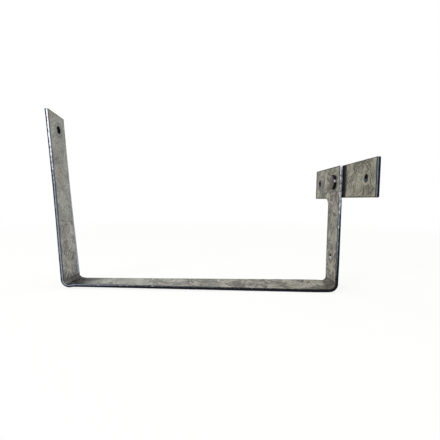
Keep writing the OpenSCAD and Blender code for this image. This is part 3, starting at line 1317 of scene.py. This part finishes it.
    def work(
        self, flat: bpy.types.Mesh, name: str, finish: bpy.types.Material, sizes: dict[str, float]
    ) -> bpy.types.Object:
        """Runs a blank through the tree and keeps the result as a plain mesh.

        Args:
            flat: The flat blank's mesh.
            name: The finished piece's name.
            finish: Its material.
            sizes: The tree's inputs by name, besides those that are 0 or that all coats share.

        Returns:
            The finished piece, at the origin.
        """
        tree = bpy.data.node_groups.get(self.name) or self.tree()
        carrier = object_from(flat, name + "_blank")
        modifier = carrier.modifiers.new(self.name, "NODES")
        modifier.node_group = tree
        given = {**dict.fromkeys(self.SIZES, 0.0), **self.COAT, **sizes, "Finish": finish}
        for item in tree.interface.items_tree:
            if item.in_out == "INPUT" and item.name in given:
                modifier[item.identifier] = given[item.name]
        graph = bpy.context.evaluated_depsgraph_get()
        graph.update()
        made = bpy.data.meshes.new_from_object(
            carrier.evaluated_get(graph), preserve_all_data_layers=True, depsgraph=graph
        )
        made.name = name
        carrier.modifiers.remove(modifier)
        bpy.data.objects.remove(carrier)
        if not made.materials:
            made.materials.append(finish)
        return object_from(made, name)


# ---------------------------------------------------------------- the bracket's pieces


@dataclass
class Strap:
    """The strap: front upright, sole, rear upright and head, one folded flat. Sizes in mm."""

    width: float = 30.0
    thickness: float = 3.0
    edge: float = 0.8
    fold_inner: float = 4.5
    sole: float = 260.0
    front_lean: float = 4.8
    front_length: float = 166.0
    front_slant: float = 3.2
    head_height: float = 30.0
    head_drop: float = 1.2
    throat: float = 7.5
    head_corner: float = 2.2
    tip_corner: float = 0.7
    tip_edge: float = 0.35
    front_hole: float = 7.0
    rear_hole: float = 5.5
    fixing_hole: float = 6.5
    rivet_hole: float = 7.1
    front_hole_end: float = 16.5
    front_hole_shift: float = 2.0
    far_hole_end: float = 14.0
    rear_hole_height: float = 30.5
    rear_hole_shift: float = 2.0
    washer: float = 6.0
    front_mark_growth: float = 0.5
    front_twist: float = -3.0
    rear_twist: float = 5.0
    front_foot_twist: float = 5.5
    rear_foot_twist: float = -1.0

    def build(self, shop: Shop) -> bpy.types.Object:
        """Cuts, punches, folds and coats the strap.

        Args:
            shop: The tree that folds and coats.

        Returns:
            The strap, riding on the bracket's one body.
        """
        low, high = (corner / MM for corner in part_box("strap"))
        near, far, head_end = low.y, low.y + self.width, high.y
        mid_radius = self.fold_inner + self.thickness / 2
        outer_radius = self.fold_inner + self.thickness
        front_turn = math.radians(90 - self.front_lean)
        set_back = outer_radius * math.tan(front_turn / 2)
        rear_fold = high.x - outer_radius
        fold_height = low.z + outer_radius
        head_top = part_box("back_plate")[1].z / MM
        front_fold = high.x - self.sole + set_back
        rear_foot = rear_fold + mid_radius * math.pi / 2
        rear_tip = rear_foot + head_top - fold_height
        front_foot = front_fold - mid_radius * front_turn
        front_tip = front_foot - (self.front_length - set_back)
        head_foot = rear_tip - self.head_height - self.head_drop
        level = low.z + self.thickness / 2
        middle = near + self.width / 2
        head_middle = rear_tip - self.head_height / 2
        upwards = (1.0, 0.0)
        blank = Blank(
            corners=[
                Corner(front_tip, near, self.tip_corner, self.tip_edge),
                Corner(rear_tip, near, self.head_corner, self.edge),
                Corner(rear_tip, head_end, self.head_corner, self.edge),
                Corner(head_foot, head_end, self.head_corner, self.edge),
                Corner(head_foot, far, self.throat, self.edge),
                Corner(front_tip + self.front_slant, far, self.tip_corner, self.tip_edge),
            ],
            holes=[
                Hole(
                    front_tip + self.front_hole_end,
                    middle + self.front_hole_shift,
                    self.front_hole / 2,
                    washer_mark=self.washer + self.front_mark_growth,
                    taper=-0.6,
                ),
                Hole(
                    rear_foot + low.z + self.rear_hole_height - fold_height,
                    middle + self.rear_hole_shift,
                    self.rear_hole / 2,
                    washer_mark=self.washer,
                    shaded=upwards,
                    # a painted highlight on the bore's lower wall, in place of the bores' painted shade
                    painted_highlight=1.4,
                    taper=-0.3,
                ),
                Hole(head_middle, middle, self.rivet_hole / 2),
                Hole(head_middle, head_end - self.far_hole_end, self.fixing_hole / 2, shaded=upwards),
            ],
            thickness=self.thickness,
            level=level,
            fine_zones=[(front_foot, front_fold), (rear_fold, rear_foot)],
            # dark walls: partly the sheared steel's fracture, partly painted shade, darkest along the
            # sole, lightest at the head
            torn_and_shaded=[
                (front_tip, 0.5),
                (front_foot - 30, 0.47),
                (front_foot, 0.55),
                (front_fold, 0.6),
                (front_fold + 70, 0.85),
                (rear_fold, 1.0),
                (rear_foot + 20, 0.78),
                (head_foot - 20, 0.6),
                (head_foot + 4, 0.15),
            ],
            # painted highlights on the edges' beads, brightest at the front upright's top
            painted_highlight=[
                (front_tip, 0.5),
                (front_tip + 4, 1.0),
                (front_tip + 25, 0.75),
                (front_tip + 60, 0.35),
                (front_foot - 40, 0.2),
                (front_foot, 0.1),
                (front_foot + 4, 0.45),
                (front_fold, 0.12),
                (front_fold + 60, 0.3),
                (front_fold + 150, 0.3),
                (rear_fold, 0.1),
                (rear_foot + 20, 0.05),
                (head_foot - 30, 0.25),
                (head_foot, 0.5),
                (rear_tip, 0.6),
            ],
            contrast=[
                (front_tip, 0.25),
                (front_foot - 70, 0.4),
                (front_foot - 30, 0.8),
                (front_fold + 60, 0.95),
                (rear_fold, 1.6),
                (rear_tip, 1.7),
            ],
            # painted shade in the inside corner of the front fold
            corner_shades=[(0.35 * front_foot + 0.65 * front_fold, front_fold + 30, 1.5)],
            # darker towards the head's far end
            end_darkening=(head_end, head_end - 6, 2.0),
            # painted reflection: a light cool band along the front upright's far edge
            reflection_band=(front_tip + 25, front_foot, far),
            twist=self._twist(front_foot, front_fold, rear_fold, rear_foot),
        )
        finish = GalvanisedZinc("hot_dip_zinc_strap", seed=131.0).material()
        lengths = {
            "Middle Line Y": middle,
            "Middle Line Z": level,
            "Rear Fold X": rear_fold,
            "Front Fold X": front_fold,
            "Fold Height": fold_height,
            "Fold Radius": mid_radius,
            "Bead Height": 0.11,
        }
        sizes = {name: length * MM for name, length in lengths.items()}
        sizes |= {"Rear Turn": math.pi / 2, "Front Turn": front_turn, "Seed": 3.0}
        made = shop.work(blank.mesh("strap_blank"), "bracket_strap", finish, sizes)
        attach(made, "root")
        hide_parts("strap")
        return made

    def _twist(
        self, foot: float, front: float, rear: float, upright: float
    ) -> list[tuple[float, float]]:
        """Twists the sole along its length, and takes the twist out again up the uprights.

        Args:
            foot: Where the front upright begins.
            front: Where the sole begins.
            rear: Where the sole ends.
            upright: Where the rear upright begins.

        Returns:
            Places along the blank and the twist there in degrees.
        """
        slope = (self.rear_twist - self.front_twist) / (rear - front)
        inner = [(x, self.front_twist + slope * (x - front)) for x in (front + 14, rear - 14)]
        return [
            (foot - 88, 0.0),
            (foot - 50, 0.35 * self.front_foot_twist),
            (foot - 25, 0.7 * self.front_foot_twist),
            (foot, self.front_foot_twist),
            (front + 3, 0.8 * self.front_twist),
            *inner,
            (rear - 3, 0.8 * self.rear_twist),
            (upright, self.rear_foot_twist),
            (upright + 18, 0.0),
        ]


@dataclass
class BackPlate:
    """The flat plate behind the head, drilled for two fixings and the rivet. Sizes in mm."""

    corner: float = 1.0
    edge: float = 0.8
    fixing_hole: float = 6.5
    near_hole_end: float = 16.5
    far_hole_end: float = 14.0
    rivet_hole: float = 7.1
    flare: float = 10.6
    flare_depth: float = 1.6
    strap_shadow: float = 8.5

    def build(self, shop: Shop) -> bpy.types.Object:
        """Cuts, drills and coats the plate.

        Args:
            shop: The tree that coats.

        Returns:
            The plate, riding on the bracket's one body.
        """
        low, high = (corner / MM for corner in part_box("back_plate"))
        rivet_low, rivet_high = (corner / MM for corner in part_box("rivet"))
        thickness = high.x - low.x
        rivet_y = (rivet_low.y + rivet_high.y) / 2
        middle = (low.z + high.z) / 2
        strap_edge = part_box("strap")[0].y / MM
        blank = Blank(
            corners=[
                Corner(y, z, self.corner, self.edge)
                for y, z in ((low.y, low.z), (high.y, low.z), (high.y, high.z), (low.y, high.z))
            ],
            holes=[
                *(
                    Hole(y, middle, self.fixing_hole / 2, shaded=(0.0, 1.0))
                    for y in (low.y + self.near_hole_end, high.y - self.far_hole_end)
                ),
                Hole(
                    rivet_y,
                    middle,
                    self.rivet_hole / 2,
                    HoleForm.COUNTERSUNK,
                    self.flare / 2,
                    self.flare_depth,
                ),
            ],
            thickness=thickness,
            level=(low.x + high.x) / 2,
            show_top=False,
            torn_and_shaded=[(low.y, 0.64), (high.y, 0.64)],
            contrast=[(low.y, 1.05), (high.y, 1.05)],
            # painted shade on the plate beside the strap's edge
            corner_shades=[(strap_edge, strap_edge - self.strap_shadow, 4.0)],
            seed=11,
        )
        finish = GalvanisedZinc(
            "hot_dip_zinc_plate",
            seed=148.0,
            dark="#5b5852",
            middle="#919089",
            light="#b5b4ae",
            run_and_reflection="#7f8696",
        ).material()
        flat = blank.mesh("plate_blank")
        self._stand(flat)
        made = shop.work(
            flat, "bracket_back_plate", finish, {**Shop.UNFOLDED, "Bead Height": 0.28 * MM, "Seed": 8.0}
        )
        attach(made, "root")
        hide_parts("back_plate")
        return made

    @staticmethod
    def _stand(flat: bpy.types.Mesh) -> None:
        """Stands a flat mesh across the bracket: x to Y, y to Z, thickness to X.

        Args:
            flat: The mesh, changed in place.
        """
        places = np.zeros(len(flat.vertices) * 3)
        flat.vertices.foreach_get("co", places)
        flat.vertices.foreach_set("co", np.roll(places.reshape(-1, 3), 1, axis=1).ravel())
        flat.update()


@dataclass
class Rivet:
    """The rivet that holds the plate: a flat button head, its shank and flush tail. Sizes in mm."""

    rim_rounding: float = 0.9
    dome: float = 40.0
    shank: float = 3.5
    tail: float = 5.25
    tail_height: float = 1.6
    head_height: float = 2.8
    around: int = 72

    CROWN_RINGS = 9
    RIM_RINGS = 7
    SEAT_BEVEL = 0.2
    TAIL_RING = 0.6  # of the tail's radius, where its flat end has a ring of points
    RUN_WIDTH = 1.0  # how far in from its rim the zinc runs thick, in the edges' colour painted cool as a reflection
    RUN_FADE = 0.5
    # painted shade: the head darkens over its rounded rim and side, from this radius out
    RIM_SHADE_FROM = 5.6
    RIM_SHADE_FADE = 0.8
    RIM_SHADE_MOST = 0.5
    GLINT_HEIGHT = 1.0  # how far above the axis the painted highlight on the head's near side sits
    GLINT_REACH = 1.2
    GLINT_HIGHLIGHT = 0.6
    CONTRAST = 0.8

    def build(self) -> bpy.types.Object:
        """Turns the rivet.

        Returns:
            The rivet, riding on the bracket's one body.
        """
        low, high = (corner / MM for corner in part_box("rivet"))
        axis_y, axis_z = (low.y + high.y) / 2, (low.z + high.z) / 2
        radius = (high.z - low.z) / 2
        section = self._section(radius, low.x, high.x)
        mesh = self._turn(section, axis_y, axis_z)
        finish = GalvanisedZinc(
            "hot_dip_zinc_rivet",
            seed=77.0,
            dark="#453f37",
            middle="#5c5449",
            light="#756c60",
            spangle_mm=4.0,
            branch_mm=3.0,
        )
        mesh.materials.append(finish.material())
        made = object_from(mesh, "bracket_rivet")
        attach(made, "root")
        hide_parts("rivet")
        return made

    def _section(self, radius: float, outside: float, back: float) -> list[tuple[float, float]]:
        """Draws half the rivet's section from the middle of its head to that of its tail.

        Args:
            radius: The head's radius.
            outside: The head's crown along X.
            back: The tail's flat end along X.

        Returns:
            Pairs of place along X and distance from the axis.
        """
        seat = outside + self.head_height
        rim = self.rim_rounding
        flat = radius - rim
        points = []
        for share in np.linspace(0, 1, self.CROWN_RINGS)[1:]:
            r = flat * share
            points.append((outside + self.dome - math.sqrt(self.dome**2 - r**2), r))
        crown = points[-1][0]
        for angle in np.linspace(0, math.pi / 2, self.RIM_RINGS)[1:]:
            points.append((crown + rim * (1 - math.cos(angle)), flat + rim * math.sin(angle)))
        bevel = self.SEAT_BEVEL
        points += [(seat - bevel, radius), (seat, radius - bevel), (seat, self.shank)]
        points += [(back - self.tail_height, self.shank), (back, self.tail)]
        points.append((back, self.tail * self.TAIL_RING))
        return [(outside, 0.0), *points, (back, 0.0)]

    def _turn(self, section: list[tuple[float, float]], axis_y: float, axis_z: float) -> bpy.types.Mesh:
        """Turns a section about the rivet's axis.

        Args:
            section: Pairs of place along X and distance from the axis.
            axis_y: The axis along Y.
            axis_z: The axis along Z.

        Returns:
            A closed mesh in metres.
        """
        angles = np.arange(self.around) * math.tau / self.around
        verts = [(section[0][0], axis_y, axis_z)]
        for x, r in section[1:-1]:
            for a in angles:
                verts.append((x, axis_y + r * math.cos(a), axis_z + r * math.sin(a)))
        verts.append((section[-1][0], axis_y, axis_z))
        n, last = self.around, len(verts) - 1
        faces = []
        for i in range(n):
            j = (i + 1) % n
            faces.append((0, 1 + j, 1 + i))
            for k in range(len(section) - 3):
                a, b = 1 + k * n, 1 + (k + 1) * n
                faces.append((a + i, a + j, b + j, b + i))
            foot = 1 + (len(section) - 3) * n
            faces.append((foot + i, foot + j, last))
        made = bpy.data.meshes.new("bracket_rivet")
        made.from_pydata((np.array(verts) * MM).tolist(), [], faces)
        places = np.array(verts)
        radii = np.hypot(places[:, 1] - axis_y, places[:, 2] - axis_z)
        outer = np.clip((radii - radii.max() + self.RUN_WIDTH) / self.RUN_FADE, 0, 1)
        # painted shade: darker towards the head's rim
        grime_and_shade = np.clip((radii - self.RIM_SHADE_FROM) / self.RIM_SHADE_FADE, 0, 1) * self.RIM_SHADE_MOST
        # a painted highlight: a glint spot on the head's near side; the rest of the head is painted
        # dark as shade
        glint = np.abs(places[:, 2] - axis_z - self.GLINT_HEIGHT) < self.GLINT_REACH
        glint &= places[:, 1] < axis_y
        values = {
            Blank.RIM: outer,
            Blank.DEPTH: np.zeros(len(verts)),
            Blank.GRIME_AND_SHADE: grime_and_shade,
            Blank.TORN_AND_SHADED: np.where(glint, 0.0, Blank.ALL_DARK),
            Blank.PAINTED_HIGHLIGHT: np.where(glint, self.GLINT_HIGHLIGHT, 0.0),
            Blank.CONTRAST: np.full(len(verts), self.CONTRAST),
            Blank.FOOT_SHADE: np.full(len(verts), 1.0),
        }
        store(made, values)
        unroll(made, places[corner_points(made)][:, 1:] * MM)
        return made


# ---------------------------------------------------------------- the studio


@dataclass
class Studio:
    """A white studio: pale floor, white surround, soft lamps and a glowing flag for the edges."""

    white: float = 1.0
    ambient: float = 0.62
    camera_place: tuple[float, float, float] = (-0.11662, -0.3034, -0.0177)
    camera_turn: tuple[float, float, float] = (86.212, -0.929, -0.099)
    focal_px: float = 321.15
    picture_px: float = 440.0
    sensor_mm: float = 36.0

    def world(self) -> None:
        """Surrounds the scene with soft light that the camera and gloss see as white."""
        world = bpy.data.worlds.new("white_studio")
        bpy.context.scene.world = world
        add = nodes_of(world)
        seen = self._seen_directly(add)
        soft = add("ShaderNodeBackground", {"Color": linear("#fbfaf6"), "Strength": self.ambient})
        white = add("ShaderNodeBackground", {"Color": (1, 1, 1, 1), "Strength": self.white})
        both = add("ShaderNodeMixShader", (seen, soft, white))
        add("ShaderNodeOutputWorld", {"Surface": both})

    @staticmethod
    def _seen_directly(add: Adder) -> bpy.types.Node:
        """Tells rays of the camera, of gloss and of glass from the rest.

        Args:
            add: What adds nodes to the tree that asks.

        Returns:
            A node that is 1 for those rays.
        """
        path = add("ShaderNodeLightPath").outputs
        first = add(
            "ShaderNodeMath", (path["Is Camera Ray"], path["Is Glossy Ray"]), operation="MAXIMUM"
        )
        return add("ShaderNodeMath", (first, path["Is Transmission Ray"]), operation="MAXIMUM")

    def floor(self) -> bpy.types.Object:
        """Lays a pale floor that the bracket's sole stands on.

        Returns:
            The floor, which isn't part of the object.
        """
        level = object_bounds()[0][2]
        size = 6.0
        mesh = bpy.data.meshes.new("studio_floor")
        corners = [(-size, -size, level), (size, -size, level), (size, size, level)]
        mesh.from_pydata([*corners, (-size, size, level)], [], [(0, 1, 2, 3)])
        paint = bpy.data.materials.new("matt_white_floor_paint")
        add = nodes_of(paint)
        seen = self._seen_directly(add)
        matt = add("ShaderNodeBsdfDiffuse", {"Color": linear("#f4f4f2")})
        glow = add("ShaderNodeEmission", {"Color": (1, 1, 1, 1), "Strength": 1.0})
        place = add("ShaderNodeTexCoord")
        distance = add("ShaderNodeVectorMath", {0: place.outputs["Object"]}, operation="LENGTH")
        far = add(
            "ShaderNodeMapRange",
            {"Value": distance, "From Min": 0.3, "From Max": 1.2, "To Min": 0.85, "To Max": 1.0},
            interpolation_type="SMOOTHSTEP",
        )
        share = add("ShaderNodeMath", (seen, far), operation="MULTIPLY")
        both = add("ShaderNodeMixShader", (share, matt, glow))
        add("ShaderNodeOutputMaterial", {"Surface": both})
        mesh.materials.append(paint)
        made = object_from(mesh, "studio_floor")
        made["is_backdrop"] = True
        return made

    def flag(self) -> bpy.types.Object:
        """Hangs a graded flag behind the camera, which only gloss sees.

        It glows, seen only in reflections: a blue grey that darkens downwards, and white at its left
        end, where it stands in for the left softbox, which gloss doesn't see.

        Returns:
            The flag, which isn't part of the object.
        """
        mesh = bpy.data.meshes.new("studio_flag")
        y = -0.95
        corners = [(-2.6, y, -0.6), (2.6, y, -0.6), (2.6, y, 1.5), (-2.6, y, 1.5)]
        mesh.from_pydata(corners, [], [(0, 1, 2, 3)])
        cloth = bpy.data.materials.new("glowing_graded_flag")
        add = nodes_of(cloth)
        place = add("ShaderNodeTexCoord")
        parts = add("ShaderNodeSeparateXYZ", {"Vector": place.outputs["Object"]})
        height = add(
            "ShaderNodeMapRange", {"Value": parts.outputs["Z"], "From Min": -0.4, "From Max": 0.4}
        )
        leftward = add(
            "ShaderNodeMapRange",
            {"Value": parts.outputs["X"], "From Min": -0.3, "From Max": -0.75},
            interpolation_type="SMOOTHSTEP",
        )
        blue = add("ShaderNodeValToRGB", {"Fac": height})
        ramp_of(blue, [(0.05, "#0e1016"), (0.35, "#535b69"), (0.65, "#a3aab7")])
        pale = add("ShaderNodeValToRGB", {"Fac": height})
        ramp_of(pale, [(0.05, "#262a31"), (0.45, "#b0b8c5"), (0.8, "#ffffff")])
        both = add("ShaderNodeMix", {"Factor": leftward, "A": blue, "B": pale}, data_type="RGBA")
        dim = add("ShaderNodeEmission", {"Color": both, "Strength": 1.5})
        add("ShaderNodeOutputMaterial", {"Surface": dim})
        mesh.materials.append(cloth)
        made = object_from(mesh, "studio_flag")
        made.visible_camera = False
        made.visible_diffuse = False
        made.visible_transmission = False
        made.visible_shadow = False
        made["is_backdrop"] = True
        return made

    def lamps(self) -> list[bpy.types.Object]:
        """Hangs the soft lamps.

        Returns:
            The lamps.
        """
        made = []
        for name, place, aim, width, height, watts, code in (
            ("softbox_left", (-0.86, -0.9, 0.33), (-0.2, 0.0, -0.03), 0.5, 0.62, 9.0, "#f3f6ff"),
            ("softbox_top", (-0.1, 0.1, 1.1), (-0.13, 0.0, -0.1), 1.0, 1.0, 6.0, "#fffaf0"),
        ):
            data = bpy.data.lights.new(name, "AREA")
            data.shape = "RECTANGLE"
            data.size, data.size_y = width, height
            data.energy = watts
            data.color = linear(code)[:3]
            lamp = bpy.data.objects.new(name, data)
            lamp.location = place
            lamp.visible_glossy = False
            lamp.rotation_mode = "QUATERNION"
            lamp.rotation_quaternion = (Vector(aim) - Vector(place)).to_track_quat("-Z", "Y")
            bpy.context.scene.collection.objects.link(lamp)
            made.append(lamp)
        return made

    def camera(self) -> bpy.types.Object:
        """Sets the camera low in front of the trough, square to the bracket.

        Returns:
            The camera.
        """
        data = bpy.data.cameras.new("front_camera")
        data.sensor_width = self.sensor_mm
        data.lens = self.focal_px / self.picture_px * self.sensor_mm
        data.clip_start = 0.01
        made = bpy.data.objects.new("front_camera", data)
        made.location = self.camera_place
        made.rotation_euler = [math.radians(angle) for angle in self.camera_turn]
        bpy.context.scene.collection.objects.link(made)
        bpy.context.scene.camera = made
        return made


def main() -> None:
    """Builds the bracket's pieces in order, then the studio."""
    logging.basicConfig(level=logging.INFO, format="%(name)s: %(message)s")
    shop = Shop()
    for piece in (Strap().build(shop), BackPlate().build(shop), Rivet().build()):
        LOG.info("%s: %d faces", piece.name, len(piece.data.polygons))
    studio = Studio()
    studio.world()
    studio.floor()
    studio.flag()
    for lamp in studio.lamps():
        LOG.info("%s hung", lamp.name)
    studio.camera()
    bpy.context.scene.view_settings.view_transform = "Standard"


if __name__ == "__main__":
    main()
